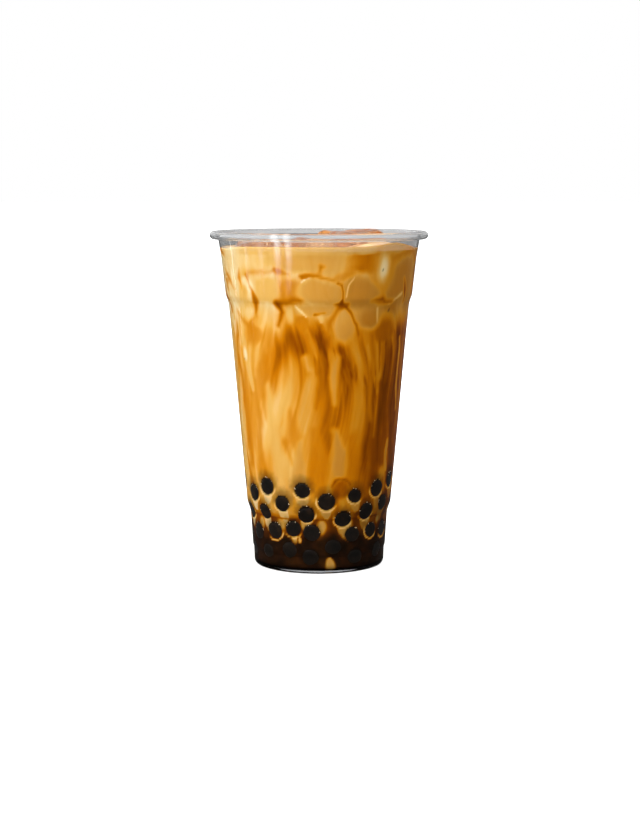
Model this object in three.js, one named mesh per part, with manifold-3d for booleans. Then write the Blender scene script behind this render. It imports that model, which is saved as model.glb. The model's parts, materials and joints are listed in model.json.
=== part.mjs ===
// Brown sugar bubble tea in a tall clear plastic cup, open at the top.
// Millimetres, +Z up. The origin is the middle of the ring that the cup stands on, and -Y is the front.
// The pieces are the thermoformed cup, the milk tea, the heap of tapioca pearls at its bottom and the ice.
import * as THREE from "three";
import { RoundedBoxGeometry } from "three/addons/geometries/RoundedBoxGeometry.js";
import { mergeVertices } from "three/addons/utils/BufferGeometryUtils.js";
import Module from "manifold-3d";

// Cup
const CUP_HEIGHT = 151;
const LIP_RADIUS = 49.1;
const LIP_INNER_RADIUS = 44.9;
const LIP_DROP = 3.5;
const LIP_STEPS = 6;
const EDGE_ROUND = 0.6;
const WALL = 0.8;
const GAP = 0.3;
const SIDES = 48;
const FOOT_INNER_RADIUS = 26.2;
const FOOT_RADIUS = 28.4;
const FOOT_EDGE = { out: 0.85, up: 0.5 };
const PANEL_HEIGHT = 1.2;
const FLOOR_TOP = PANEL_HEIGHT + WALL;
const FLOOR_FILLET = { out: 1.2, up: 1.6 };

// Outer radius of the wall at its stations, from the foot up to the underside of the lip
const WALL_STATIONS = [
  { height: 1.6, radius: 29.6 },
  { height: 7.6, radius: 29.85 },
  { height: 8.7, radius: 30.3 },
  { height: 23.8, radius: 31.25 },
  { height: 25.6, radius: 31.75 },
  { height: 28.6, radius: 32.8 },
  { height: 118.2, radius: 40.65 },
  { height: 120.2, radius: 41.15 },
  { height: 122.6, radius: 42.05 },
  { height: 139.5, radius: 43.9 },
  { height: CUP_HEIGHT - LIP_DROP, radius: 45.3 },
];

// Drink
const DRINK_BOTTOM = 22.4;
const LEVEL = 143.2;
const MENISCUS_RISE = 0.8;
const MENISCUS_WIDTH = 1.5;
const DRINK_FLOOR = FLOOR_TOP + GAP;
const SWELL = { angle: 50, radius: 34, width: 20, height: 3.6 };
const SWELL_SIDES = 20;

// Pearls
const PEARL_RADIUS = 4.4;
const PEARL_SPREAD = 0.35;
const PEARL_PRESS = 1.4;
const CUTTER_REACH = 3;
const CORE_SIDES = 16;
const PEARL_SIDES = 8;
const PEARL_RINGS = [78, 118];

// The heap's core: how far it stays in from the drink's side at each height, and its low crown
const CORE_STEPS = [
  { height: DRINK_FLOOR, inset: 2.4 },
  { height: 10, inset: 2.0 },
  { height: 20, inset: 2.2 },
  { height: 29, inset: 5.2 },
  { height: 41, inset: 6.0 },
];
const CORE_CROWN = { radius: 14, rise: 2, peak: 1 };

// Pearls against the front of the wall: degrees round from the front, and height
const FRONT_PEARLS = [
  [-87, 38], [-62, 35], [-44, 39], [-30, 32], [-13, 38.4], [6, 33.4], [29, 35.4], [51, 37.7], [61, 30.5], [71, 40],
  [-73, 26], [-49, 27.4], [-10, 27.8], [20, 25.3], [41, 28], [82, 29],
  [-62, 17], [-40, 19], [-22, 20.6], [-6, 19], [29, 17.6], [49, 18.6], [68, 18],
  [-74, 8.5], [-50, 9], [-26, 10.8], [-7, 8], [12, 12.4], [33, 7.6], [60, 8.8],
];

// Rows of pearls round the back of the wall: height, and the step between neighbours in degrees
const BACK_ROWS = [
  { height: 8, step: 27 },
  { height: 17, step: 25 },
  { height: 26, step: 26 },
  { height: 35, step: 31 },
];
const BACK_FROM = 98;
const BACK_TO = 262;
const ROW_JITTER = { angle: 4, height: 2.4 };

// Ice: middle, size, turn about the upright axis and tilts, in degrees
const ICE_ROUNDING = 4;
const ICE_CUBES = [
  { name: "ice_left", at: [-27, -15, 138], size: [19, 21, 20], turn: 9, tilt: [4, -6] },
  { name: "ice_middle", at: [-3, -30, 138.9], size: [20, 20, 22], turn: -10, tilt: [-6, 9] },
  { name: "ice_right", at: [17, -6, 140.3], size: [26, 21, 22], turn: 8, tilt: [5, -4] },
  { name: "ice_back_left", at: [-17.5, 28.5, 138.6], size: [19, 11, 18], turn: 30, tilt: [6, 3] },
  { name: "ice_back_right", at: [9, 32, 140.2], size: [22, 13, 19], turn: -14, tilt: [-6, 5] },
];

// Repeatable draws between 0 and 1
function makeDraw(seed) {
  let state = seed;
  return () => {
    state = (state * 16807) % 2147483647;
    return state / 2147483647;
  };
}

const wasm = await Module();
wasm.setup();

// A closed geometry as a solid that can be joined and cut
function toSolid(geometry) {
  const bare = geometry.clone();
  bare.deleteAttribute("normal");
  bare.deleteAttribute("uv");
  const merged = mergeVertices(bare, 1e-4);
  return new wasm.Manifold(
    new wasm.Mesh({
      numProp: 3,
      vertProperties: new Float32Array(merged.attributes.position.array),
      triVerts: new Uint32Array(merged.index.array),
    }),
  );
}

function toGeometry(solid) {
  const { vertProperties, triVerts, numProp } = solid.getMesh();
  const places = new Float32Array((vertProperties.length / numProp) * 3);
  for (let i = 0; i < places.length / 3; i++)
    places.set(vertProperties.subarray(i * numProp, i * numProp + 3), i * 3);
  const geometry = new THREE.BufferGeometry();
  geometry.setAttribute("position", new THREE.BufferAttribute(places, 3));
  geometry.setIndex(new THREE.BufferAttribute(new Uint32Array(triVerts), 1));
  geometry.computeVertexNormals();
  return geometry;
}

// A profile of [radius, height] pairs, listed so that the material is on its left, spun about +Z
function spin(profile, sides = SIDES) {
  const points = profile.map(([radius, height]) => new THREE.Vector2(radius, height));
  return new THREE.LatheGeometry(points, sides).rotateX(Math.PI / 2);
}

function outerRadius(height) {
  const above = WALL_STATIONS.findIndex((station) => station.height >= height);
  if (above === 0) return WALL_STATIONS[0].radius;
  if (above < 0) return WALL_STATIONS.at(-1).radius;
  const [low, high] = [WALL_STATIONS[above - 1], WALL_STATIONS[above]];
  const share = (height - low.height) / (high.height - low.height);
  return low.radius + share * (high.radius - low.radius);
}

const innerRadius = (height) => outerRadius(height) - WALL;
const contentRadius = (height) => innerRadius(height) - GAP;

// Heights of the wall's stations that lie between two heights
const stationsBetween = (low, high) =>
  WALL_STATIONS.map((station) => station.height).filter((height) => height > low && height < high);

// The cup: one thin wall from the raised base panel out to the foot, up the side and over the rolled lip
function makeCup() {
  const outside = [
    [0, PANEL_HEIGHT],
    [FOOT_INNER_RADIUS - 1, PANEL_HEIGHT],
    [FOOT_INNER_RADIUS, 0],
    [FOOT_RADIUS, 0],
    [FOOT_RADIUS + FOOT_EDGE.out, FOOT_EDGE.up],
    ...WALL_STATIONS.map(({ height, radius }) => [radius, height]),
  ];
  const bead = LIP_DROP / 2;
  const rolled = Array.from({ length: LIP_STEPS + 1 }, (_, step) => {
    const angle = Math.PI * (step / LIP_STEPS - 0.5);
    return [LIP_RADIUS - bead + bead * Math.cos(angle), CUP_HEIGHT - bead + bead * Math.sin(angle)];
  });
  const mouth = [
    [LIP_INNER_RADIUS + EDGE_ROUND, CUP_HEIGHT],
    [LIP_INNER_RADIUS, CUP_HEIGHT - EDGE_ROUND],
  ];
  const filletTop = FLOOR_TOP + FLOOR_FILLET.up;
  const inside = WALL_STATIONS.filter(({ height }) => height > filletTop)
    .map(({ height, radius }) => [radius - WALL, height])
    .reverse();
  const floor = [
    [innerRadius(filletTop), filletTop],
    [innerRadius(filletTop) - FLOOR_FILLET.out, FLOOR_TOP],
    [0, FLOOR_TOP],
  ];
  return spin([...outside, ...rolled, ...mouth, ...inside, ...floor]);
}

// The side of the room inside the cup between two heights, with the gap kept all round
const roomSide = (bottom, top) => [
  [contentRadius(bottom), bottom],
  ...stationsBetween(bottom, top).map((height) => [contentRadius(height), height]),
  [contentRadius(top), top],
];

// Where each pearl's middle is, pressed against the wall, and its radius
function pearlPlaces() {
  const draw = makeDraw(41);
  const spots = FRONT_PEARLS.map(([angle, height]) => ({ angle, height }));
  for (const { height, step } of BACK_ROWS)
    for (let angle = BACK_FROM; angle <= BACK_TO; angle += step)
      spots.push({
        angle: angle + ROW_JITTER.angle * (2 * draw() - 1),
        height: height + ROW_JITTER.height * (2 * draw() - 1),
      });
  return spots.map((spot) => ({ ...spot, radius: PEARL_RADIUS + PEARL_SPREAD * (2 * draw() - 1) }));
}

// The heap without its outer pearls, grown by a margin for cutting the drink
function heapCore(margin = 0) {
  const side = CORE_STEPS.map(({ height, inset }) => [contentRadius(height) - inset + margin, height]);
  side[0][1] -= margin;
  side.at(-1)[1] += margin;
  const { radius, rise, peak } = CORE_CROWN;
  const top = side.at(-1)[1] + rise;
  return toSolid(spin([[0, side[0][1]], ...side, [radius, top], [0, top + peak]], CORE_SIDES));
}

// A ball on its side that is flat where it is pressed against the wall.
// A cutter for the drink has a margin all round and goes on through the wall's surface instead.
function pearlBall({ angle, height, radius }, margin = 0) {
  const flat = radius - PEARL_PRESS;
  const edge = Math.acos(flat / radius);
  const rings = [edge, ...PEARL_RINGS.map(THREE.MathUtils.degToRad)];
  const arc = rings.map((polar) => [(radius + margin) * Math.sin(polar), (radius + margin) * Math.cos(polar)]);
  const through = flat + CUTTER_REACH;
  const outer = margin ? [[0, through], [arc[0][0], through]] : [[0, flat]];
  const ball = spin([[0, -radius - margin], ...arc.reverse(), ...outer.reverse()], PEARL_SIDES);
  const round = THREE.MathUtils.degToRad(angle);
  ball.rotateX(Math.PI / 2).rotateZ(round);
  const out = contentRadius(height) - flat;
  ball.translate(out * Math.sin(round), -out * Math.cos(round), height);
  if (!margin) keepInside(ball);
  return toSolid(ball);
}

// Draws points that lie past the room's side back onto it
function keepInside(geometry) {
  const places = geometry.attributes.position;
  for (let i = 0; i < places.count; i++) {
    const height = Math.max(places.getZ(i), DRINK_FLOOR);
    const far = Math.hypot(places.getX(i), places.getY(i));
    const share = Math.min(1, contentRadius(height) / far);
    places.setXYZ(i, places.getX(i) * share, places.getY(i) * share, height);
  }
}

// Pearls fused on the core
const makeHeap = () => wasm.Manifold.union([heapCore(), ...pearlPlaces().map((place) => pearlBall(place))]);

function iceMesh({ name, at, size, turn, tilt }, margin = 0) {
  const [width, depth, height] = size.map((side) => side + 2 * margin);
  const geometry = new RoundedBoxGeometry(width, depth, height, 1, ICE_ROUNDING + margin);
  const mesh = new THREE.Mesh(geometry, iceMaterial);
  mesh.name = name;
  mesh.position.set(...at);
  mesh.rotation.set(...[...tilt, turn].map(THREE.MathUtils.degToRad), "ZYX");
  mesh.updateMatrixWorld(true);
  return mesh;
}

// A sunken cube lifts the drink over it into a low bell-shaped mound beside the wall
function swell() {
  const { angle, radius, width, height } = SWELL;
  const bell = [1, 0.8, 0.6, 0.4, 0.2, 0].map((share) => [
    share * width,
    LEVEL + (height / 2) * (1 + Math.cos(Math.PI * share)),
  ]);
  const mound = spin([[0, LEVEL - 1], [width, LEVEL - 1], ...bell], SWELL_SIDES);
  const round = THREE.MathUtils.degToRad(angle);
  mound.translate(radius * Math.sin(round), -radius * Math.cos(round), 0);
  return toSolid(mound);
}

// The milk tea, cut round the heap and the ice, without the drops that the cuts leave loose
function makeDrink() {
  const brim = [
    [contentRadius(LEVEL) - MENISCUS_WIDTH, LEVEL],
    [0, LEVEL],
  ];
  const bottom = [0, DRINK_BOTTOM];
  const body = toSolid(spin([bottom, ...roomSide(DRINK_BOTTOM, LEVEL + MENISCUS_RISE), ...brim]));
  const top = CUP_HEIGHT - LIP_DROP;
  const room = toSolid(spin([bottom, ...roomSide(DRINK_BOTTOM, top), [0, top]]));
  const cuts = [heapCore(GAP), ...pearlPlaces().map((place) => pearlBall(place, GAP))];
  for (const cube of ICE_CUBES) {
    const grown = iceMesh(cube, GAP);
    cuts.push(toSolid(grown.geometry.applyMatrix4(grown.matrixWorld)));
  }
  const whole = body.add(swell().intersect(room)).subtract(wasm.Manifold.union(cuts));
  return whole.decompose().sort((a, b) => b.volume() - a.volume())[0];
}

const cupMaterial = new THREE.MeshStandardMaterial({
  color: 0xe9eef0,
  roughness: 0.06,
  metalness: 0,
  transparent: true,
  opacity: 0.28,
});
const drinkMaterial = new THREE.MeshStandardMaterial({ color: 0xd09a50, roughness: 0.35, metalness: 0 });
const pearlMaterial = new THREE.MeshStandardMaterial({ color: 0x17110d, roughness: 0.18, metalness: 0 });
const iceMaterial = new THREE.MeshStandardMaterial({
  color: 0xd9a873,
  roughness: 0.08,
  metalness: 0,
  transparent: true,
  opacity: 0.6,
});

const tea = new THREE.Group();

const cup = new THREE.Mesh(makeCup(), cupMaterial);
cup.name = "cup";
tea.add(cup);

const heap = new THREE.Mesh(toGeometry(makeHeap()), pearlMaterial);
heap.name = "pearls";
tea.add(heap);

const drink = new THREE.Mesh(toGeometry(makeDrink()), drinkMaterial);
drink.name = "milk_tea";
tea.add(drink);

for (const cube of ICE_CUBES) tea.add(iceMesh(cube));

export default tea;
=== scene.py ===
# %% [markdown]
# # Brown sugar bubble tea in a clear cup
# A tall thermoformed cup stands on its foot ring. It holds milk tea marbled with brown sugar syrup, a heap of
# dark tapioca pearls at the bottom and a few lumps of ice at the top.
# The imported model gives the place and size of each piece. This notebook gives each one its finished surface:
# a finely spun cup, a painted drink that touches the wall, pressed pearls, melted ice and bubbles.

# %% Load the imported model
import json
import math

import bmesh
import bpy
import mathutils
import numpy as np
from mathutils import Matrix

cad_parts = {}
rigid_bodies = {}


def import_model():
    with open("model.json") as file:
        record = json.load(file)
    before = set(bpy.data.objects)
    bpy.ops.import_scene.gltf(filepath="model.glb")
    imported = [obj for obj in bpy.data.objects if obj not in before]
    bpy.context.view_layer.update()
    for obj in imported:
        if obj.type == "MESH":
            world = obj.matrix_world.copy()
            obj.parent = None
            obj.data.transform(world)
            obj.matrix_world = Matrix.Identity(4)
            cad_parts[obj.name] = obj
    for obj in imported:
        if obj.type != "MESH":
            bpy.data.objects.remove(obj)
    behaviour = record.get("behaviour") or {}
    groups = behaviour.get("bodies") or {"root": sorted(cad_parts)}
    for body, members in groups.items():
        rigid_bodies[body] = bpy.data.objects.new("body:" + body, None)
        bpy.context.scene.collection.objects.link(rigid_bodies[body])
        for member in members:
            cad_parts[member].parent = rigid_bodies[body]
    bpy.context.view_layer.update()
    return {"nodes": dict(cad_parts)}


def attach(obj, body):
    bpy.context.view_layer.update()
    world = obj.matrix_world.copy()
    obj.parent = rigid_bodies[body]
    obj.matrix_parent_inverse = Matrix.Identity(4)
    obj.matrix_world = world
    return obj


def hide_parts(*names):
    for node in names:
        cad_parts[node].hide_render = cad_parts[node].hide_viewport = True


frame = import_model()
print("nodes:", sorted(frame["nodes"]))

# %% [markdown]
# ## Sizes that the model was built from
# The drink, the pearls and the ice all have to meet the cup's wall, so the wall's stations come first.
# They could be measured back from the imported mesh, but named sizes are easier to read and to change.
# Everything below is in millimetres, and a mesh is turned into metres when it is made.

# %% Cup sizes
MM = 0.001
CUP_HEIGHT = 151.0
LIP_RADIUS = 49.1
LIP_INNER_RADIUS = 44.9
LIP_DROP = 3.5
WALL = 0.8
PANEL_HEIGHT = 1.2
FLOOR_TOP = PANEL_HEIGHT + WALL
FOOT = [(25.2, PANEL_HEIGHT), (26.2, 0.0), (28.4, 0.0), (29.25, 0.5)]
STATIONS = [
    (29.6, 1.6), (29.85, 7.6), (30.3, 8.7), (31.25, 23.8), (31.75, 25.6), (32.8, 28.6),
    (40.65, 118.2), (41.15, 120.2), (42.05, 122.6), (43.9, 139.5), (45.3, 147.5),
]

# %% Drink, pearl and ice sizes
LEVEL = 143.2
MENISCUS_RISE = 0.8
SWELL = {"angle": 50.0, "radius": 34.0, "width": 20.0, "height": 3.6}
PEARL_RADIUS, PEARL_SPREAD = 4.4, 0.35
FRONT_PEARLS = [
    (-87, 38), (-62, 35), (-44, 39), (-30, 32), (-13, 38.4), (6, 33.4), (29, 35.4), (51, 37.7), (61, 30.5),
    (71, 40), (-73, 26), (-49, 27.4), (-10, 27.8), (20, 25.3), (41, 28), (82, 29),
    (-62, 17), (-40, 19), (-22, 20.6), (-6, 19), (29, 17.6), (49, 18.6), (68, 18),
    (-74, 8.5), (-50, 9), (-26, 10.8), (-7, 8), (12, 12.4), (33, 7.6), (60, 8.8),
]
BACK_ROWS = [(8, 27), (17, 25), (26, 26), (35, 31)]
BACK_FROM, BACK_TO = 98, 262
ROW_JITTER = {"angle": 4.0, "height": 2.4}
ICE = {
    "ice_left": {"at": (-27, -15, 138), "size": (19, 21, 20), "turn": 9, "tilt": (4, -6)},
    "ice_middle": {"at": (-3, -30, 138.9), "size": (20, 20, 22), "turn": -10, "tilt": (-6, 9)},
    "ice_right": {"at": (17, -6, 140.3), "size": (26, 21, 22), "turn": 8, "tilt": (5, -4)},
    "ice_back_left": {"at": (-17.5, 28.5, 138.6), "size": (19, 11, 18), "turn": 30, "tilt": (6, 3)},
    "ice_back_right": {"at": (9, 32, 140.2), "size": (22, 13, 19), "turn": -14, "tilt": (-6, 5)},
}

# %% [markdown]
# ## Small helpers
# A mesh from arrays, a colour as the eye names it, and node trees written in a few lines each.
# Node trees could be wired by hand in the editor. In code they can be read, compared and run again.

# %% Meshes from arrays
def make_piece(name, points_mm, faces, material=None, smooth=True):
    """A mesh object at the origin from points in millimetres."""
    mesh = bpy.data.meshes.new(name)
    mesh.from_pydata((np.asarray(points_mm, float) * MM).tolist(), [], faces)
    mesh.polygons.foreach_set("use_smooth", np.full(len(mesh.polygons), smooth))
    mesh.update()
    piece = bpy.data.objects.new(name, mesh)
    bpy.context.scene.collection.objects.link(piece)
    if material:
        mesh.materials.append(material)
    return piece


def set_values(mesh, name, values):
    """Stores one number for each point, which a material can read by name."""
    layer = mesh.attributes.new(name, "FLOAT", "POINT")
    layer.data.foreach_set("value", np.asarray(values, np.float32))


def turn_outwards(piece):
    """Points every face of a closed mesh outwards."""
    work = bmesh.new()
    work.from_mesh(piece.data)
    bmesh.ops.recalc_face_normals(work, faces=work.faces)
    work.to_mesh(piece.data)
    work.free()


# %% Colours and node trees
def rgb(red, green, blue):
    """A colour given as 0 to 255 on screen, in the linear values that a shader takes."""
    share = np.array([red, green, blue]) / 255
    linear = np.where(share <= 0.04045, share / 12.92, ((share + 0.055) / 1.055) ** 2.4)
    return (*linear.tolist(), 1.0)


class Tree:
    """Adds nodes to a shader or geometry tree and links them in one call."""

    def __init__(self, tree):
        self.tree = tree

    def add(self, kind, settings=None, **inputs):
        node = self.tree.nodes.new(kind)
        for key, value in (settings or {}).items():
            setattr(node, key, value)
        for key, value in inputs.items():
            socket = node.inputs[int(key[1:])] if key[1:].isdigit() else node.inputs[key.replace("_", " ")]
            if isinstance(value, bpy.types.NodeSocket):
                self.tree.links.new(value, socket)
            else:
                socket.default_value = value
        return node

    def math(self, operation, first, second=0.0, clamp=False):
        settings = {"operation": operation, "use_clamp": clamp}
        return self.add("ShaderNodeMath", settings, i0=first, i1=second).outputs[0]

    def ramp(self, value, stops):
        node = self.add("ShaderNodeValToRGB", i0=value)
        elements = node.color_ramp.elements
        while len(elements) < len(stops):
            elements.new(0.5)
        for element, (place, colour) in zip(elements, stops):
            element.position, element.color = place, colour
        return node.outputs["Color"]

    def mix(self, share, first, second):
        node = self.add("ShaderNodeMix", {"data_type": "RGBA"}, i0=share, i6=first, i7=second)
        return node.outputs[2]


def new_material(name):
    """A material with an empty node tree: (material, tree, output node)."""
    material = bpy.data.materials.new(name)
    material.use_nodes = True
    material.node_tree.nodes.clear()
    tree = Tree(material.node_tree)
    return material, tree, tree.add("ShaderNodeOutputMaterial")


# %% [markdown]
# ## The wall as an outline
# The real cup is drawn from one warm sheet, so every corner of its outline is a little round.
# Each corner of the stations is replaced by a short curve. A bevel modifier could do it after spinning, but
# then the drink, which has to touch the same wall, wouldn't know the rounded outline.

# %% Rounded outlines
def round_corners(corners, reach=0.8, steps=4):
    """The corner points with each inner corner swept by a short curve."""
    corners = [np.array(point, float) for point in corners]
    path = [corners[0]]
    for before, corner, after in zip(corners, corners[1:], corners[2:]):
        back, ahead = before - corner, after - corner
        start = corner + back * min(reach / np.linalg.norm(back), 0.45)
        end = corner + ahead * min(reach / np.linalg.norm(ahead), 0.45)
        for t in np.linspace(0, 1, steps + 1):
            path.append((1 - t) ** 2 * start + 2 * t * (1 - t) * corner + t * t * end)
    return np.array(path + [corners[-1]])


def arc(centre, radius, start, end, steps):
    """Points round a centre, from one angle to another in degrees."""
    turns = np.radians(np.linspace(start, end, steps + 1))
    return [(centre[0] + radius * math.cos(a), centre[1] + radius * math.sin(a)) for a in turns]


INNER_STATIONS = [(radius - WALL, height) for radius, height in STATIONS if height > 5]
INNER_CORNERS = [(0, FLOOR_TOP), (27.7, FLOOR_TOP), (28.9, 3.6), *INNER_STATIONS, (LIP_INNER_RADIUS, 150.0)]
inner_outline = round_corners(INNER_CORNERS)
print("inner outline:", len(inner_outline), "points")


def inner_radius(height):
    """Radius of the wall's inner face at a height above the floor's fillet."""
    side = inner_outline[inner_outline[:, 1] > FLOOR_TOP + 0.01]
    return np.interp(height, side[:, 1], side[:, 0])


# %% [markdown]
# ## The cup
# The lip of a real cup is the sheet itself, rolled outwards and down into a hollow bead. Spinning a closed
# outline of that sheet gives the bead its two faces, and light bends through both.
# A Screw modifier would spin it too, but a small function also closes the poles.

# %% Spin an outline
def spin(name, outline, columns, material):
    """Spins (radius, height) points from one pole on the axis to the other into a closed mesh."""
    turns = np.arange(columns) * 2 * math.pi / columns
    first, rings, last = outline[0], outline[1:-1], outline[-1]
    points = [(0, 0, first[1])]
    for radius, height in rings:
        points.extend(zip(radius * np.sin(turns), -radius * np.cos(turns), np.full(columns, height)))
    points.append((0, 0, last[1]))
    following = np.roll(np.arange(columns), -1)
    faces = [(0, 1 + b, 1 + a) for a, b in enumerate(following)]
    for ring in range(len(rings) - 1):
        low = 1 + ring * columns
        high = low + columns
        faces.extend((low + a, low + b, high + b, high + a) for a, b in enumerate(following))
    top = len(points) - 1
    base = top - columns
    faces.extend((base + a, base + b, top) for a, b in enumerate(following))
    return make_piece(name, points, faces, material)


# %% Cup plastic
def make_plastic():
    """Clear, faintly grey plastic. Its shadow lets the lamps through, as the real thin wall does."""
    material, tree, output = new_material("clear_plastic")
    coordinates = tree.add("ShaderNodeTexCoord").outputs["Object"]
    flow = tree.add("ShaderNodeMapping", Vector=coordinates, Scale=(1, 1, 0.35)).outputs[0]
    waves = tree.add("ShaderNodeTexNoise", Vector=flow, Scale=42.0, Detail=2.0).outputs[0]
    ripple = tree.add("ShaderNodeBump", Strength=0.06, Distance=0.002, Height=waves).outputs[0]
    # The haze holds the lip's cloudiness and the painted reflection streaks on the upper wall.
    haze = tree.add("ShaderNodeAttribute", {"attribute_name": "haze"}).outputs["Fac"]
    clearness = tree.math("SUBTRACT", 1.0, tree.math("MULTIPLY", haze, tree.math("ADD", waves, 0.5)))
    plastic = tree.add(
        "ShaderNodeBsdfPrincipled",
        Base_Color=rgb(242, 243, 244),
        Roughness=0.025,
        IOR=1.2,
        Transmission_Weight=clearness,
        Normal=ripple,
    )
    path = tree.add("ShaderNodeLightPath").outputs["Is Shadow Ray"]
    clear = tree.add("ShaderNodeBsdfTransparent", Color=rgb(252, 252, 251))
    mixed = tree.add("ShaderNodeMixShader", i0=path, i1=plastic.outputs[0], i2=clear.outputs[0])
    tree.tree.links.new(mixed.outputs[0], output.inputs["Surface"])
    return material


plastic = make_plastic()

# %% Outline of the cup, lip and all
BEAD = LIP_DROP / 2
LIP_SHEET = 0.6
SHEET_END = -128
bead_centre = (LIP_RADIUS - BEAD, CUP_HEIGHT - BEAD)
level_radii = [(float(inner_radius(height)) + WALL, height) for height in (LEVEL, LEVEL + 1.5)]
under_lip = (45.5, bead_centre[1] - 0.2)
outer_side = [(0, PANEL_HEIGHT), *FOOT, *STATIONS[:-1], *level_radii, STATIONS[-1], under_lip]
hollow = arc(bead_centre, BEAD - LIP_SHEET, 178, SHEET_END, 16)
end_centre = arc(bead_centre, BEAD - LIP_SHEET / 2, SHEET_END, SHEET_END, 1)[0]
rolled_end = arc(end_centre, LIP_SHEET / 2, SHEET_END + 180, SHEET_END, 4)[1:-1]
bead = arc(bead_centre, BEAD, SHEET_END, 90, 18)
mouth_corners = [bead[-1], (LIP_INNER_RADIUS, CUP_HEIGHT), (LIP_INNER_RADIUS, 149.0)]
mouth = round_corners(mouth_corners, reach=0.9)[1:]
cup_outline = np.vstack([round_corners(outer_side), hollow, rolled_end, bead, mouth, inner_outline[::-1][1:]])
print("cup outline:", len(cup_outline), "points")

# %% Spin the cup
CUP_COLUMNS = 224
cup = spin("cup_clear", cup_outline, CUP_COLUMNS, plastic)
turn_outwards(cup)
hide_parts("cup")
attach(cup, "root")
print("cup:", len(cup.data.polygons), "faces")

# %% [markdown]
# The sheet is a little cloudy where it was drawn and rolled, and light catches on the upper wall in upright
# streaks. Tall bright cards beside the cup could give the streaks as reflections, but they wander as the view
# turns. So the cloudiness is painted as a faint haze on the cup's own points, and the streaks as painted
# reflections in that haze.

# %% Haze and painted reflection streaks in the plastic
RIM_HAZE = 0.05
LIP_HAZE_FROM = 148.8
CLEAR_WALL_HAZE = 0.7
STREAKS_FROM, STREAKS_TO = 134, 143
# Each painted reflection streak: degrees from the front, half width in degrees, strength.
PAINTED_REFLECTION_STREAKS = [
    (-23.6, 1.7, 0.20), (-17.1, 1.5, 0.20), (-34.6, 1.0, 0.10), (-45, 0.9, 0.08), (-57.5, 1.0, 0.08),
]
cup_height = np.array([vertex.co.z for vertex in cup.data.vertices]) / MM
cup_angle = np.degrees([math.atan2(vertex.co.x, -vertex.co.y) for vertex in cup.data.vertices])
haze = RIM_HAZE * np.clip((cup_height - LIP_HAZE_FROM) / 1.5, CLEAR_WALL_HAZE, 1) * (cup_height > LEVEL)
# Painted reflections: upright streaks where light catches on the upper wall.
for angle, width, strength in PAINTED_REFLECTION_STREAKS:
    rise = np.clip((cup_height - STREAKS_FROM) / (STREAKS_TO - STREAKS_FROM), 0, 1)
    haze = np.maximum(haze, strength * rise * np.exp(-((cup_angle - angle) / width) ** 2))
set_values(cup.data, "haze", haze)
print("strongest haze:", round(float(haze.max()), 3))

# %% [markdown]
# ## Noise for the marbling
# Syrup runs down the wall in streaks that fold and fade. Noise textures in the shader could draw streaks,
# but not the particular lobes and strokes of this drink. So the marbling is painted as numbers on the drink's
# own points: noise gives the streaks, and brush strokes on top give what is particular.

# %% Smooth noise on arrays
def smoothstep(low, high, value):
    """A soft step from 0 at low to 1 at high, or down where high is the smaller."""
    share = np.clip((value - low) / (high - low), 0, 1)
    return share * share * (3 - 2 * share)


def noise(points, scale, seed, octaves=2):
    """Smooth noise from about -1 to 1 at an array of points. Scale is a feature's size along x, y and z."""
    random = np.random.default_rng(seed)
    side = 24
    leans = random.normal(size=(side, side, side, 3))
    leans /= np.linalg.norm(leans, axis=3, keepdims=True)
    place = np.asarray(points, float) / np.asarray(scale, float) + random.uniform(0, side, 3)
    total, weight = np.zeros(len(place)), 1.0
    for _ in range(octaves):
        cell = np.floor(place).astype(int)
        inside = place - cell
        fade = inside ** 3 * (inside * (inside * 6 - 15) + 10)
        value = np.zeros(len(place))
        for corner in np.ndindex(2, 2, 2):
            near = (cell + corner) % side
            lean = leans[near[:, 0], near[:, 1], near[:, 2]]
            share = np.prod(np.where(np.array(corner) == 1, fade, 1 - fade), axis=1)
            value += share * np.einsum("ij,ij->i", lean, inside - corner)
        total += weight * value * 1.6
        place, weight = place * 2.03 + 7.1, weight * 0.5
    return total


# %% [markdown]
# ## Where the pearls lie
# The heap follows the rule of the model: chosen places round the front, rows with a little jitter round the
# back, and each pearl pressed against the wall. A layer on the floor shows through the base.

# %% Pearl places
def draws(seed):
    """The repeatable draws between 0 and 1 that the model uses."""
    state = seed
    while True:
        state = state * 16807 % 2147483647
        yield state / 2147483647


def pearl_spots():
    """Angle, height and radius of each pearl against the wall."""
    draw = draws(41)
    spots = list(FRONT_PEARLS)
    for height, step in BACK_ROWS:
        for angle in range(BACK_FROM, BACK_TO + 1, step):
            turned = angle + ROW_JITTER["angle"] * (2 * next(draw) - 1)
            spots.append((turned, height + ROW_JITTER["height"] * (2 * next(draw) - 1)))
    return np.array([(a, h, PEARL_RADIUS + PEARL_SPREAD * (2 * next(draw) - 1)) for a, h in spots])


pearl_random = np.random.default_rng(7)
wall_pearls = pearl_spots()
press = pearl_random.uniform(1.1, 1.9, len(wall_pearls))
PEARL_REACH = 0.24
print("pearls against the wall:", len(wall_pearls))

# %% [markdown]
# ## The drink's surface
# At the top the tea climbs a little at the wall and round each lump of ice, most of all in the narrow gap at
# the front, and it swells over a sunken lump at the front right. Under each lump it forms a pocket that
# follows the ice, so that the ice looks deep and clear. One function of x and y gives that height, and the
# grid of the top follows it.

# %% Height of the surface
FRONT_CLIMB = 1.3
POCKET_DEPTH = 9.0
POCKET_EDGE = 5.0
FRONT_FROM, FRONT_TO = math.cos(math.radians(75)), math.cos(math.radians(35))


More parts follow.
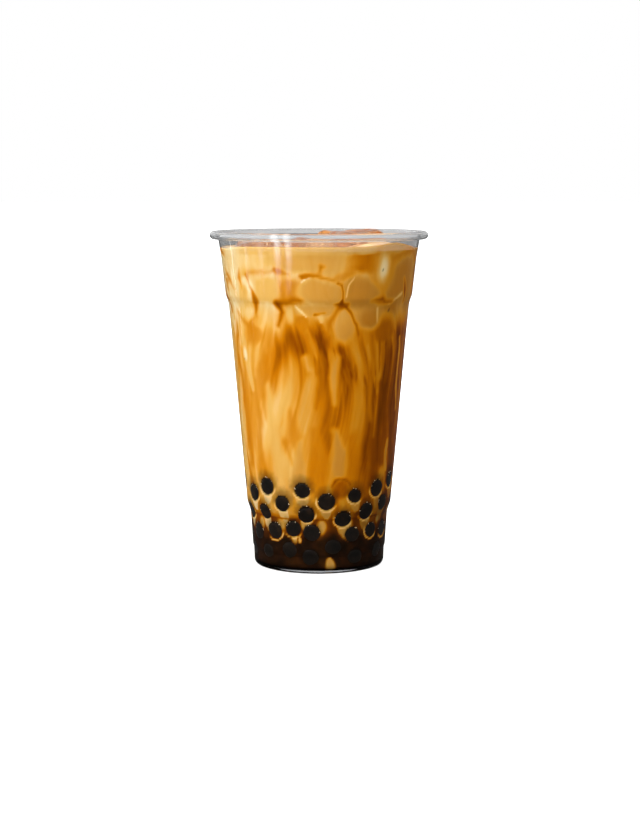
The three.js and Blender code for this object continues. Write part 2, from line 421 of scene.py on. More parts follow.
def ice_distance(x, y, lump):
    """Distance outside (or, below zero, inside) a lump's outline at the level of the drink."""
    turn = math.radians(lump["turn"])
    across = (x - lump["at"][0]) * math.cos(turn) + (y - lump["at"][1]) * math.sin(turn)
    along = -(x - lump["at"][0]) * math.sin(turn) + (y - lump["at"][1]) * math.cos(turn)
    rounding = 4.0
    out_across = np.abs(across) - lump["size"][0] / 2 + rounding
    out_along = np.abs(along) - lump["size"][1] / 2 + rounding
    outside = np.hypot(np.maximum(out_across, 0), np.maximum(out_along, 0))
    return outside + np.minimum(np.maximum(out_across, out_along), 0) - rounding


def surface_height(x, y):
    """Height of the drink's top at each x and y."""
    radius = np.hypot(x, y)
    wall_gap = inner_radius(LEVEL) - radius
    height = LEVEL + MENISCUS_RISE * np.exp(-np.maximum(wall_gap, 0) / 0.7)
    at_front = smoothstep(FRONT_FROM, FRONT_TO, -y / np.maximum(radius, 1e-6))
    height = height + FRONT_CLIMB * at_front * smoothstep(4.5, 0.0, wall_gap)
    turn = math.radians(SWELL["angle"])
    away = np.hypot(x - SWELL["radius"] * math.sin(turn), y + SWELL["radius"] * math.cos(turn))
    bell = 0.5 * (1 + np.cos(np.pi * np.clip(away / SWELL["width"], 0, 1)))
    ripples = noise(np.stack([x, y, 0 * x], 1), (7, 7, 7), 21) * (0.12 + 0.5 * bell)
    height = height + SWELL["height"] * bell + ripples
    for lump in ICE.values():
        gap = ice_distance(x, y, lump)
        height = height + np.where(gap > -0.5, 0.7 * np.exp(-np.maximum(gap, 0) / 0.9), 0.7)
        height = height - POCKET_DEPTH * smoothstep(0.4, POCKET_EDGE, -gap)
    return height


# %% [markdown]
# ## The drink's grid
# One closed mesh holds the bottom, the side and the top. Its columns are closer together at the front, where
# the marbling is finest. The side reaches a little way into the plastic, so that no gap of air shows between
# them, and it goes down among the pearls to the floor.

# %% Rows and columns
WALL_REACH = 0.14
COLUMNS = 404
SIDE_STEP = 0.8
FRONT_CROWDING = 0.3
TOP_RINGS = 44
BEND_HEIGHT = 132.0

share = np.arange(COLUMNS) / COLUMNS * 2 * math.pi
angles = share - FRONT_CROWDING * np.sin(share)


def side_rows():
    """Radius and height of the drink's rows from the middle of the floor up to the level."""
    slope = np.gradient(inner_outline, axis=0)
    slope /= np.linalg.norm(slope, axis=1, keepdims=True)
    pushed = inner_outline + WALL_REACH * np.stack([slope[:, 1], -slope[:, 0]], 1)
    pushed[0, 0] = 0
    travelled = np.concatenate([[0], np.cumsum(np.linalg.norm(np.diff(pushed, axis=0), axis=1))])
    floor_end = travelled[np.argmax(pushed[:, 1] > FLOOR_TOP)]
    top = np.interp(LEVEL, pushed[:, 1], travelled)
    floor_stops = np.linspace(0, floor_end, 9)[:-1]
    side_stops = np.linspace(floor_end, top, int((top - floor_end) / SIDE_STEP))
    stops = np.concatenate([floor_stops, side_stops])
    return np.interp(stops, travelled, pushed[:, 0]), np.interp(stops, travelled, pushed[:, 1])


def drink_points():
    """All the drink's points, row by row: floor, side, top, with one point at each pole."""
    sine, cosine = np.sin(angles), np.cos(angles)
    row_radius, row_height = side_rows()
    reach = inner_radius(LEVEL) + WALL_REACH
    contact = surface_height(reach * sine, -reach * cosine)
    points = [np.array([[0, 0, row_height[0]]])]
    for radius, height in zip(row_radius[1:], row_height[1:]):
        lift = max(0.0, (height - BEND_HEIGHT) / (LEVEL - BEND_HEIGHT))
        heights = height + lift * (contact - LEVEL)
        radii = np.where(lift > 0, inner_radius(heights) + WALL_REACH, radius)
        points.append(np.stack([radii * sine, -radii * cosine, heights], 1))
    for step in range(1, TOP_RINGS):
        radii = reach * (1 - step / TOP_RINGS)
        x, y = radii * sine, -radii * cosine
        points.append(np.stack([x, y, surface_height(x, y)], 1))
    points.append(np.array([[0, 0, surface_height(np.zeros(1), np.zeros(1))[0]]]))
    return np.vstack(points), len(row_radius) - 1


tea_points, side_count = drink_points()
print("drink:", len(tea_points), "points,", side_count, "rows up to the level")

# %% [markdown]
# ## Painting the marbling
# Three numbers on each point say what shows there: how strong the mixed tea is, how thick the raw syrup on
# the wall is, and how dark it is beside a pearl, in the syrup at the bottom and where painted shade falls on
# the right.
# The wall is unrolled to millimetres across and up, the noise bends those places a little, and each stroke is
# painted as the distance to its line. The bend gives every stroke a hand-poured edge.

# %% Unrolled places
ROLL_RADIUS = 40.0
tea_x, tea_y, tea_z = tea_points.T
tea_angle = np.degrees(np.arctan2(tea_x, -tea_y))
tea_radius = np.hypot(tea_x, tea_y)
rim_radius = inner_radius(LEVEL)


def drift(points, seed, amount, scale):
    """Moves points along a smooth flow, which stretches what is sampled there into folds and threads."""
    moved = points.copy()
    for step in range(3):
        push = np.stack([noise(moved, scale, seed + axis, 1) for axis in range(3)], 1)
        moved = moved + amount * push * (1.0, 1.0, 1.6)
    return moved


bent = drift(drift(tea_points, 300, 0.4, (9, 9, 13)), 330, 0.10, (2.6, 2.6, 4))
bent_angle = np.degrees(np.arctan2(bent[:, 0], -bent[:, 1]))
bent_up = bent[:, 2]


def across_from(angle):
    """Millimetres along the wall from an angle, the short way round."""
    return np.radians((bent_angle - angle + 180) % 360 - 180) * ROLL_RADIUS


# %% Brushes
def stroke(places, widths, soft=0.5):
    """1 on a tapered line through (angle, height) places, 0 away from it."""
    mask = np.zeros(len(bent_up))
    for (a0, h0), (a1, h1), w0, w1 in zip(places, places[1:], widths, widths[1:]):
        x, z = across_from(a0), bent_up - h0
        run_x, run_z = math.radians(a1 - a0) * ROLL_RADIUS, h1 - h0
        along = np.clip((x * run_x + z * run_z) / (run_x ** 2 + run_z ** 2), 0, 1)
        away = np.hypot(x - along * run_x, z - along * run_z)
        width = w0 + along * (w1 - w0)
        mask = np.maximum(mask, smoothstep(soft, -soft, away - width))
    return mask


def patch(angle, height, half_width, half_height, soft=0.3, power=2.0, lean=0.0):
    """1 inside a rounded patch, fading over a share of its size."""
    x, z = across_from(angle), bent_up - height
    x = x - lean * z
    size = (np.abs(x / half_width) ** power + np.abs(z / half_height) ** power) ** (1 / power)
    return smoothstep(1 + soft, 1 - soft, size)


# %% [markdown]
# ## Streaks from noise
# In the body of the drink the syrup hangs in long upright streaks and threads. Near the top it lies between
# rounded lobes, where ice presses milk against the wall. The lobes are cells round scattered points, and the
# syrup is the narrow gap between two cells.

# %% Base layers
FLOW = (26.0, 26.0, 60.0)
BODY_TOP, LOBES_FROM = 122, 106
streamed = drift(tea_points, 500, 4.0, FLOW)
on_wall = np.zeros(len(tea_points))
on_wall[: 1 + side_count * COLUMNS] = 1
broad = noise(streamed, (9.0, 9.0, 54), 11, 2)
fine = noise(streamed, (2.2, 2.2, 24), 12, 2)
# Towards the right, the side away from the key lamp, the tea is darker and the syrup thicker: partly the
# drink's own deeper syrup, partly painted shade.
rightward = 0.5 * np.sin(np.radians(tea_angle - 8))
tea = 0.36 + 0.20 * noise(streamed, (12, 12, 46), 13, 2) + 0.55 * rightward + 0.10 * fine
body = 0.59 + 0.44 * rightward + 0.36 * broad + 0.06 * fine
dark_threads = smoothstep(0.22, 0.60, noise(streamed, (3.0, 3.0, 70), 15, 2))
pale_threads = smoothstep(0.25, 0.60, noise(streamed, (3.4, 3.4, 80), 16, 2))
syrup = 0.9 * smoothstep(0.0, 1.0, body + 0.12 * (dark_threads - 0.7 * pale_threads))
upper = smoothstep(LOBES_FROM, BODY_TOP, tea_z)
syrup *= 1 - 0.88 * upper
print("mean syrup in the body:", round(float(syrup.mean()), 3))


# %% Lobes round the sides and the back
LOBE_ROWS = (138, 127, 114.5)
LOBE_STEP = 26


def lobe_gaps(rows, step, seed):
    """Distance between the nearest and the next nearest lobe, small along the seams of syrup."""
    random = np.random.default_rng(seed)
    nearest, second = np.full(len(bent_up), 1e3), np.full(len(bent_up), 1e3)
    for row, height in enumerate(rows):
        for angle in np.arange(0, 360, step) + row * step / 2:
            x = across_from(angle + random.uniform(-5, 5))
            z = (bent_up - height - random.uniform(-2.5, 2.5)) * 1.35
            away = (np.abs(x) ** 2.6 + np.abs(z) ** 2.6) ** (1 / 2.6)
            second = np.minimum(second, np.maximum(nearest, away))
            nearest = np.minimum(nearest, away)
    return second - nearest


away_from_front = smoothstep(58, 80, np.abs(tea_angle))
seams = smoothstep(4.6, 0.0, lobe_gaps(LOBE_ROWS, LOBE_STEP, 5) + 1.6 * fine + 0.8 * broad)
broken = smoothstep(-0.35, 0.25, noise(tea_points, (11, 11, 9), 83, 1))
syrup = np.maximum(syrup, 0.60 * seams * broken * upper * away_from_front * smoothstep(143, 136, tea_z))
washes = smoothstep(0.05, 0.55, noise(streamed, (11, 11, 9), 84, 2))
syrup = np.maximum(syrup, 0.55 * washes * upper * away_from_front)
print("share of seams:", round(float((seams > 0.5).mean()), 3))

# %% [markdown]
# ## Strokes of syrup
# Each row is one stroke: its places as (degrees from the front, millimetres up), its half widths, how thick
# the syrup is and how soft the edge. They are painted from the faint washes to the dark lines.

# %% Syrup near the top
# Each wash: place, half width and half height, thickness, softness.
SYRUP_WASHES = [
    ((28, 138.4), (15, 5.2), 0.66, 0.45), ((16, 133.6), (6.5, 4.2), 0.50, 0.6),
    ((46, 139.0), (9.5, 3.4), 0.55, 0.5), ((38.5, 131.0), (6.5, 8.0), 0.46, 0.45),
    ((-18.5, 126.4), (8.2, 6.0), 0.50, 0.5), ((-50, 133), (10, 4), 0.16, 0.6),
    ((-47, 107), (7, 5), 0.5, 0.5), ((-11, 112.0), (5.6, 5.0), 0.56, 0.5), ((47, 108), (9.5, 8), 0.72, 0.6),
    ((30, 106), (6, 6), 0.55, 0.6), ((-30, 112), (3.6, 7), 0.30, 0.6), ((16.0, 38.5), (6.0, 6.2), 0.76, 0.5),
]
SYRUP_STROKES = [
    ([(8.6, 41.4), (11.5, 43.6), (14.5, 44.4), (19, 43.6), (24, 41.2)], [0.3, 0.8, 0.7, 0.5, 0.2], 0.9, 1.0),
    ([(44, 141.6), (60, 141.8), (80, 140.8)], [1.2, 1.8, 1.4], 0.58, 1.82),
    ([(-46, 133.6), (-35, 134.0), (-24, 133.7)], [1.1, 1.1, 1.0], 0.50, 1.6),
    ([(-27, 135.0), (-24.5, 134.3), (-18.0, 133.6)], [0.8, 1.6, 0.2], 0.66, 1.0),
    ([(-74, 135), (-68, 131), (-63, 127)], [0.4, 1.3, 0.6], 0.58, 1.42),
    ([(-54.6, 135), (-55.5, 131), (-54, 126)], [0.2, 1.0, 0.2], 0.60, 1.0),
    ([(-48.6, 132), (-46.8, 127)], [1.0, 0.2], 0.60, 0.9),
    ([(-45.5, 126.5), (-42.6, 122.5), (-43.5, 116.5)], [0.5, 2.3, 0.7], 0.72, 1.3),
    ([(-11.5, 132.6), (-8, 132.8), (0, 132.5), (8.2, 132.3)], [0.9, 1.2, 0.9, 0.3], 0.66, 0.9),
    ([(-10.5, 131.6), (-3.5, 131.7)], [0.5, 0.3], 0.80, 0.6),
    ([(0.6, 134.2), (1.2, 136.4), (2.8, 136.8)], [0.4, 0.9, 0.5], 0.70, 1.01),
    ([(-27, 121.8), (-18, 122.2), (-10.4, 121.4)], [1.2, 1.0, 1.2], 0.72, 1.62),
    ([(-63.5, 116), (-52, 110.4), (-42.8, 115)], [0.7, 1.6, 0.7], 0.54, 1.62),
    ([(12.6, 119.4), (9.2, 116), (6.6, 112), (5.4, 107.5)], [1.6, 1.3, 1.0, 0.7], 0.62, 1.22),
    ([(32.5, 122.2), (42, 122.8), (51, 121.7)], [0.5, 1.6, 0.8], 0.80, 1.62),
    ([(9.8, 120.4), (13.2, 119.9), (17.6, 120.2)], [1.0, 1.8, 0.9], 0.84, 1.22),
    ([(-26, 121.2), (-23.4, 117.4), (-26.3, 110.6)], [1.5, 1.1, 0.5], 0.84, 1.22),
    ([(11, 130.8), (13.4, 129.2), (14.7, 126), (14.5, 123.2), (13.2, 121)],
     [0.3, 0.5, 0.5, 0.5, 0.9], 0.84, 0.52),
    ([(15.5, 119.4), (21, 116.6), (25, 112), (26.6, 107)], [0.9, 0.6, 0.5, 0.3], 0.80, 0.6),
    ([(-1.8, 116), (3.4, 116.9)], [0.8, 0.3], 0.80, 0.6),
    ([(61.5, 131.5), (64, 126), (66, 121)], [0.2, 1.1, 0.4], 0.95, 1.01),
    ([(-79, 127), (-77, 121.5), (-74, 117)], [0.4, 0.9, 0.5], 0.80, 1.01),
]

# %% Streaks in the body
BODY_STROKES = [
    ([(-60, 76), (-57, 66), (-60, 56)], [1.0, 2.4, 1.6], 0.42, 2.0),
    ([(-20, 74), (-16, 62), (-13, 52)], [1.6, 3.4, 2.0], 0.52, 2.4),
    ([(-24, 60), (-21.5, 50)], [2.0, 0.4], 0.56, 2.4),
    ([(1, 99), (0, 86), (-2, 76)], [0.4, 1.2, 0.5], 0.72, 1.8),
    ([(-3, 64), (0.5, 52), (-0.5, 38)], [2.6, 4.8, 3.6], 0.56, 1.8),
    ([(-48, 104), (-51, 84), (-53, 62), (-50, 44)], [1.4, 2.8, 3.6, 3.0], 0.46, 2.4),
    ([(25, 62), (27, 50), (26, 38)], [3.4, 4.6, 3.6], 0.62, 2.8),
    ([(36, 92), (38, 80), (40, 70)], [1.6, 2.2, 1.0], 0.58, 2.4),
    ([(48, 86), (53, 70), (56, 50)], [1.6, 3.4, 2.8], 0.86, 2.0),
    ([(43, 60), (44, 50), (45, 42)], [1.4, 2.4, 1.6], 0.84, 1.8),
    ([(-68, 96), (-64, 78), (-66, 56)], [0.8, 2.2, 1.2], 0.62, 2.0),
    ([(-39, 97), (-41, 90), (-42, 80)], [1.6, 3.0, 1.4], 0.60, 2.4),
    ([(-40, 100), (-42, 84), (-40, 70)], [1.0, 2.4, 1.4], 0.50, 2.2),
    ([(-54, 104), (-56, 92), (-55, 80)], [0.8, 1.8, 1.0], 0.55, 1.8),
    ([(-62, 100), (-60, 78), (-62, 48)], [1.2, 2.6, 1.8], 0.56, 1.8),
    ([(-49, 86), (-47, 68), (-50, 46)], [1.0, 2.0, 1.4], 0.52, 1.8),
]

# %% [markdown]
# ## Patches of milk
# Pale milk shows where there is no syrup on the wall: in the lobes at the top, in bubbles, in columns down
# the left and in the wake under each pearl that slid down the wall.

# %% Milk patches and strokes
# Each lobe: place, half width and half height, squareness, tone, softness.
MILK_LOBES = [
    ((2.0, 125.9), (10.0, 4.7), 3.0, 0.50, 0.28), ((26.6, 125.2), (8.8, 6.4), 2.4, 0.66, 0.30),
    ((1.0, 117.9), (8.6, 2.6), 2.4, 0.46, 0.35), ((16.2, 111.5), (4.8, 6.4), 2.2, 0.40, 0.45),
    ((34, 114.5), (5.0, 4.6), 2.2, 0.66, 0.55), ((58, 131), (9.0, 9.0), 2.4, 0.70, 0.45),
    ((-33, 126.5), (5.6, 5.4), 2.6, 0.34, 0.30), ((-8, 138.6), (17, 4.4), 2.6, 0.46, 0.45),
    ((-60, 138.6), (9, 4.0), 2.2, 0.14, 0.50), ((-50, 116), (4, 3.6), 2.0, 0.10, 0.50),
]
# Each stroke: places, half widths, tone, softness.
MILK_STROKES = [
    ([(-50.5, 129.8), (-46.5, 127.6)], [2.0, 2.4], 0.02, 0.9),
    ([(-66, 126), (-61, 122)], [1.5, 1.0], 0.16, 0.7),
    ([(-72, 124), (-70, 113)], [1.2, 1.2], 0.20, 0.8),
    ([(-11.4, 129.4), (-8.8, 131.0), (-4, 131.4)], [0.3, 0.4, 0.2], 0.02, 0.3),
    ([(16.6, 123.4), (18, 127.8), (20.8, 130.6)], [0.3, 0.4, 0.2], 0.16, 0.3),
    ([(-14.2, 119.8), (-10, 117.2), (-7.2, 114.6)], [0.3, 0.7, 0.4], 0.04, 0.4),
    ([(1.2, 115), (1.8, 112.8)], [1.0, 0.6], 0.16, 0.6),
    ([(39.8, 119.4), (40.4, 113.2)], [0.7, 0.4], 0.16, 0.6),
    ([(49, 120.6), (60, 125.2)], [0.4, 0.7], 0.20, 0.6),
    ([(-60, 108), (-57, 100), (-56, 92), (-52, 82)], [1.0, 1.8, 1.9, 1.0], 0.12, 0.9),
    ([(-38, 84), (-35, 64), (-32, 50), (-30, 38)], [0.8, 2.6, 4.2, 3.2], 0.14, 2.4),
    ([(-13, 60), (-15, 49), (-18, 38)], [0.7, 2.8, 2.2], 0.30, 2.0),
    ([(-9, 98), (-6, 92)], [0.9, 0.4], 0.16, 1.8),
    ([(13, 99), (9, 88), (11, 77)], [0.6, 1.5, 0.6], 0.34, 2.2),
    ([(11, 64), (14.5, 55), (15, 47)], [1.0, 3.4, 2.8], 0.42, 2.4),
    ([(66, 104), (68, 88), (70, 72)], [0.5, 0.9, 0.4], 0.40, 0.7),
    ([(60, 58), (62, 46)], [0.9, 0.7], 0.46, 0.8),
    ([(-77, 104), (-75, 80), (-79, 58)], [0.8, 1.0, 0.6], 0.26, 0.8),
]
# Each bubble: place, half width and half height, the same of its halo, tone.
MILK_BUBBLES = [
    ((41.0, 136.6), (3.0, 5.8), (7.0, 9.4), 0.06), ((-18.5, 116.6), (1.5, 3.2), (2.3, 4.2), 0.26),
    ((-58.4, 98.6), (1.6, 3.0), (2.4, 4.2), 0.04),
]
# Each spot: degrees from the front, millimetres up, size.
DARK_SPOTS = [
    (38.7, 136.2, 0.35), (40.1, 135.8, 0.35), (-19.4, 118.6, 0.4), (50, 117.3, 0.7), (-60, 96, 0.5),
]

# %% Paint them all
def paint(layer, value, mask):
    """The layer, drawn towards the value where the mask is strong."""
    return layer + (value - layer) * mask


GOLDEN_BELOW = 0.20
STROKE_SOFTNESS = 1.4
near_wall = np.maximum(on_wall, smoothstep(rim_radius - 3, rim_radius, tea_radius))
for (angle, height), (width, tall), thickness, soft in SYRUP_WASHES:
    mask = patch(angle, height, width, tall, soft) * near_wall
    syrup = np.maximum(syrup, thickness * mask)
for places, widths, thickness, soft in BODY_STROKES:
    syrup = paint(syrup, thickness, 0.85 * stroke(places, widths, soft) * near_wall)
for (angle, height), (width, tall), power, tone, soft in MILK_LOBES:
    mask = patch(angle, height, width, tall, soft, power) * near_wall
    syrup, tea = paint(syrup, 0.02, mask), paint(tea, tone, 0.85 * mask)
for places, widths, tone, soft in MILK_STROKES:
    mask = stroke(places, widths, soft) * near_wall
    syrup, tea = paint(syrup, 0.04, 0.85 * mask), paint(tea, tone, 0.9 * mask)
for places, widths, thickness, soft in SYRUP_STROKES:
    syrup = paint(syrup, thickness, stroke(places, widths, STROKE_SOFTNESS * soft) * near_wall)
tea = tea + GOLDEN_BELOW * smoothstep(124, 100, tea_z)
brim = smoothstep(LEVEL - 1.4, LEVEL - 0.4, tea_z + 0.5 * broad) * on_wall
brim = 0.8 * brim * smoothstep(70, 30, np.abs(tea_angle))
syrup, tea = paint(syrup, 0.03, brim), paint(tea, 0.32, brim)
for (angle, height), size, halo, tone in MILK_BUBBLES:
    syrup = paint(syrup, 0.46, patch(angle, height, *halo, 0.55))
    mask = patch(angle, height, *size, 0.7)
    syrup, tea = paint(syrup, 0.0, mask), paint(tea, tone, mask)
print("mean tea and syrup so far:", round(float(tea.mean()), 3), round(float(syrup.mean()), 3))

# %% [markdown]
# ## The settled syrup
# Below the lower stacking step the syrup has settled and is nearly black. Above it the tea grows murky towards
# the pearls, and painted shade darkens it most on the right, away from the key lamp. Milk shows only in a few
# small places.

# %% The dark bottom
SETTLED_FROM, SETTLED_TO = 24.5, 15.0
shade = np.zeros(len(tea_points))
settled = smoothstep(SETTLED_FROM, SETTLED_TO, tea_z + 2.2 * noise(tea_points, (8, 8, 6), 31))
lower = smoothstep(48, 26, tea_z)
# More syrup on the right low down: partly its own colour, partly painted shade.
syrup = np.maximum(syrup, lower * (0.60 + 0.34 * broad + 0.3 * rightward))
syrup = np.maximum(syrup, smoothstep(31, 24, tea_z) * (0.84 + 0.2 * broad))
print("share of settled syrup:", round(float(settled.mean()), 3))

# %% Milk under each pearl and between them
WAKES_ABOVE = 23
# Each gap: degrees from the front, millimetres up, half size.
MILK_GAPS = [
    (-21, 15.8, 2.2), (24, 21.0, 3.6), (26, 17.6, 2.2), (10.5, 6.0, 1.1), (10.5, 4.6, 2.0), (10.5, 3.2, 3.0),
    (2, 21.0, 2.8), (-33, 22, 2.4), (44, 24, 1.8), (-56, 22, 2.0), (-15, 15.5, 1.2), (58, 23, 1.6),
]
for angle, height, radius in wall_pearls:
    if height > WAKES_ABOVE:
        lean = 0.5 + 0.5 * math.sin(7 * angle)
        places = [(angle, height - 1), (angle + lean, height - 4.6), (angle + 2 * lean, height - 7.0)]
        wake = 0.85 * stroke(places, [3.5, 3.0, 1.7], 0.4)
        # The wakes darken towards the right: partly their own colour, partly painted shade.
        tone = 0.36 + 0.36 * math.sin(math.radians(angle))
        syrup, tea = paint(syrup, 0.10, wake), paint(tea, tone, wake)
for angle, height, size in MILK_GAPS:
    mask = patch(angle, height, size, 1.1 * size, 0.4)
    settled = settled * (1 - (0.55 if height < 8 else 1.0) * mask)
    syrup, tea = paint(syrup, 0.25, mask), paint(tea, 0.35, mask)
# Murk towards the pearls, with painted shade that grows towards the right side.
murk_edge = tea_z + 3 * noise(tea_points, (7, 7, 9), 58)
murk_and_shade = smoothstep(41, 25, murk_edge) * (0.36 + 0.75 * np.clip(rightward, -0.2, 1))
shade = np.maximum(shade, np.clip(murk_and_shade, 0, 1) * on_wall)
shade = np.maximum(shade, (0.965 + 0.035 * noise(tea_points, (5, 5, 5), 52)) * settled)
print("mean shade:", round(float(shade.mean()), 3))

# %% [markdown]
# ## The open surface
# From above, threads of syrup swirl in the milk. The swirls are one noise sampled at drifted places, and the
# syrup follows its level line. The rim and the swell are paler, and so is the tea seen through the ice.

# %% Swirls on top
open_surface = 1 - near_wall * on_wall
open_surface[tea_z < 100] = 0
swirls = noise(drift(tea_points, 700, 5.0, (20, 20, 20)), (9, 9, 30), 71, 3)
threads = smoothstep(0.10, 0.0, np.abs(swirls - 0.05)) + 0.8 * smoothstep(0.30, 0.62, swirls)
on_swell = smoothstep(LEVEL + 0.8, LEVEL + 2.6, tea_z)
top_tone = 0.50 + 0.35 * swirls - 0.28 * smoothstep(5, 1, rim_radius - tea_radius) - 0.4 * on_swell
top_syrup = np.clip(0.02 + 0.36 * threads, 0, 1)
syrup, tea = paint(syrup, top_syrup, open_surface), paint(tea, top_tone, open_surface)
under_ice = np.zeros(len(tea_points))
for lump in ICE.values():
    under_ice = np.maximum(under_ice, smoothstep(-0.3, -2.5, ice_distance(tea_x, tea_y, lump)))
under_ice *= open_surface
syrup, tea = paint(syrup, 0.04, under_ice), paint(tea, 0.22, under_ice)
print("points under the ice:", int((under_ice > 0.5).sum()))

# %% [markdown]
# ## Round the pearls
# A pearl bends away from the wall. A thin film of milk beside the contact is still clear, and deeper milk
# covers the pearl, so its edge fades. A dark gloom hangs above each pearl, and a pale crescent is painted
# beside it, here and there.

# %% Pearls fading into the milk
MILK_DEPTH = 0.8
CLEAR_FILM = 0.36
skin_noise = noise(tea_points, (1.6, 1.6, 1.6), 47, 1)


def beside(angle):
    """Millimetres along the wall from an angle, without the bend of the brushes."""
    return np.radians((tea_angle - angle + 180) % 360 - 180) * np.maximum(tea_radius, 20)


for (angle, height, radius), pressed in zip(wall_pearls, press):
    x = beside(angle)
    apart = np.hypot(x, tea_z - height)
    depth = (radius - pressed) - np.sqrt(np.maximum(radius ** 2 - apart ** 2, 0))
    depth = depth + 0.22 * skin_noise
    cover = np.where(apart < radius, np.exp(-np.maximum(depth - CLEAR_FILM, 0) / MILK_DEPTH), 0)
    up = tea_z - height - 0.8
    above = np.hypot(x, np.minimum(up, 0) * 1.7 + np.maximum(up, 0))
    gloom = 0.62 * smoothstep(radius + 3.4, radius - 1.4, above + 0.8 * skin_noise)
    cover = np.maximum(cover, gloom)
    shade = np.maximum(shade, cover * near_wall)

# %% Bright crescents
CRESCENTS_ABOVE = 16
for (angle, height, radius), pressed in zip(wall_pearls, press):
    if height > CRESCENTS_ABOVE:
        x = beside(angle)
        contact = math.sqrt(radius ** 2 - (radius - pressed) ** 2)
        middle = 0.7 * pearl_random.uniform(-0.7, 0.7)
        half_turn = pearl_random.uniform(0.7, 1.5)
        ring = np.abs(np.hypot(x, tea_z - height) - contact - 1.1 + 0.25 * skin_noise)
        lean = np.abs(np.arctan2(x, height - tea_z) - middle)
        crescent = smoothstep(0.65, 0.15, ring) * smoothstep(half_turn + 0.3, half_turn - 0.3, lean)
        crescent = 0.85 * smoothstep(0.75, 1.05, half_turn) * crescent * near_wall
        shade = paint(shade, 0.0, crescent)
        syrup, tea = paint(syrup, 0.05, crescent), paint(tea, 0.16, crescent)

# %% Dark lines along the steps of the wall
STEP_LINES = [(24.8, 0.45), (8.0, 0.5), (120.9, 0.10)]
for line_height, strength in STEP_LINES:
    line = smoothstep(0.8, 0.3, np.abs(tea_z - line_height)) * on_wall
    line = line * strength * (0.7 + 0.6 * fine)
    syrup, shade = paint(syrup, 0.95, np.clip(line * 1.6, 0, 1)), np.maximum(shade, 0.5 * line)
for angle, height, size in DARK_SPOTS:
    shade = np.maximum(shade, 0.85 * patch(angle, height, size, size * 0.8, 0.5))
print("mean tea, syrup and shade:", [round(float(layer.mean()), 3) for layer in (tea, syrup, shade)])

# %% [markdown]
# ## The drink's finish
# Behind plastic the tea has no gloss of its own, and at the open top it is wet and shiny. The two finishes
# share one tree: tea from cream to brown, syrup from gold to nearly black, and fine cloudiness. Each has its
# own colours, and the open top's are darker: painted shade that tempers the stronger light from above.

# %% Colours of the drink
MILK_BEHIND_PLASTIC = [
    (0.0, (255, 232, 180)), (0.08, (248, 217, 154)), (0.25, (238, 187, 98)),
    (0.5, (216, 150, 56)), (0.75, (184, 112, 22)), (1.0, (148, 80, 6)),
]
SYRUP_BEHIND_PLASTIC = [
    (0.0, (236, 176, 74)), (0.35, (228, 150, 24)), (0.6, (202, 116, 2)),
    (0.8, (146, 72, 0)), (1.0, (70, 32, 2)),
]
# The open top's colours are darker copies: painted shade against the stronger light that falls on it from
# above.
SHADED_MILK_ON_TOP = [(0.0, (224, 182, 118)), (0.5, (166, 118, 72)), (1.0, (106, 66, 36))]
SHADED_SYRUP_ON_TOP = [(0.0, (190, 136, 72)), (0.5, (142, 86, 30)), (1.0, (74, 38, 12))]
NEARLY_BLACK = rgb(20, 13, 8)


# %% Drink materials
def make_tea(name, roughness, specular, milk, syrups):
    """Tea, syrup and shade, read from the numbers on the points and coloured by two lists of stops."""
    material, tree, output = new_material(name)
    place = tree.add("ShaderNodeTexCoord").outputs["Object"]
    tall = tree.add("ShaderNodeMapping", Vector=place, Scale=(1, 1, 0.22)).outputs[0]
    wisps = tree.add("ShaderNodeTexNoise", Vector=tall, Scale=420.0, Detail=4.0, Distortion=0.6).outputs[0]
    clouds = tree.add("ShaderNodeTexNoise", Vector=tall, Scale=130.0, Detail=3.0, Distortion=0.4).outputs[0]
    stir = tree.math("SUBTRACT", tree.math("ADD", wisps, clouds), 1.0)
    layer = {}
    for key in ("tea", "syrup", "shade"):
        layer[key] = tree.add("ShaderNodeAttribute", {"attribute_name": key}).outputs["Fac"]
    tone = tree.math("ADD", layer["tea"], tree.math("MULTIPLY", stir, 0.08), True)
    thick = tree.math("ADD", layer["syrup"], tree.math("MULTIPLY", stir, 0.10), True)
    milky = tree.ramp(tone, [(stop, rgb(*colour)) for stop, colour in milk])
    amber = tree.ramp(thick, [(stop, rgb(*colour)) for stop, colour in syrups])
    smooth = {"interpolation_type": "SMOOTHSTEP"}
    over = tree.add("ShaderNodeMapRange", smooth, Value=thick, i1=0.04, i2=0.60).outputs[0]
    marbled = tree.mix(over, milky, amber)
    coloured = tree.mix(layer["shade"], marbled, NEARLY_BLACK)
    tea_shader = tree.add(
        "ShaderNodeBsdfPrincipled", Base_Color=coloured, Roughness=roughness, Specular_IOR_Level=specular,
    )
    tree.tree.links.new(tea_shader.outputs[0], output.inputs["Surface"])
    return material


# %% Faces between the rows
def grid_faces(row_count, columns):
    """Faces of rows of points between two poles."""
    here = np.arange(columns)
    following = np.roll(here, -1)
    faces = [(0, 1 + b, 1 + a) for a, b in zip(here, following)]
    for row in range(row_count - 1):
        low, high = 1 + row * columns, 1 + (row + 1) * columns
        faces.extend(zip(low + here, low + following, high + following, high + here))
    base, top = 1 + (row_count - 1) * columns, 1 + row_count * columns
    faces.extend((base + a, base + b, top) for a, b in zip(here, following))
    return faces


row_count = (len(tea_points) - 2) // COLUMNS
print("rows of the drink:", row_count)

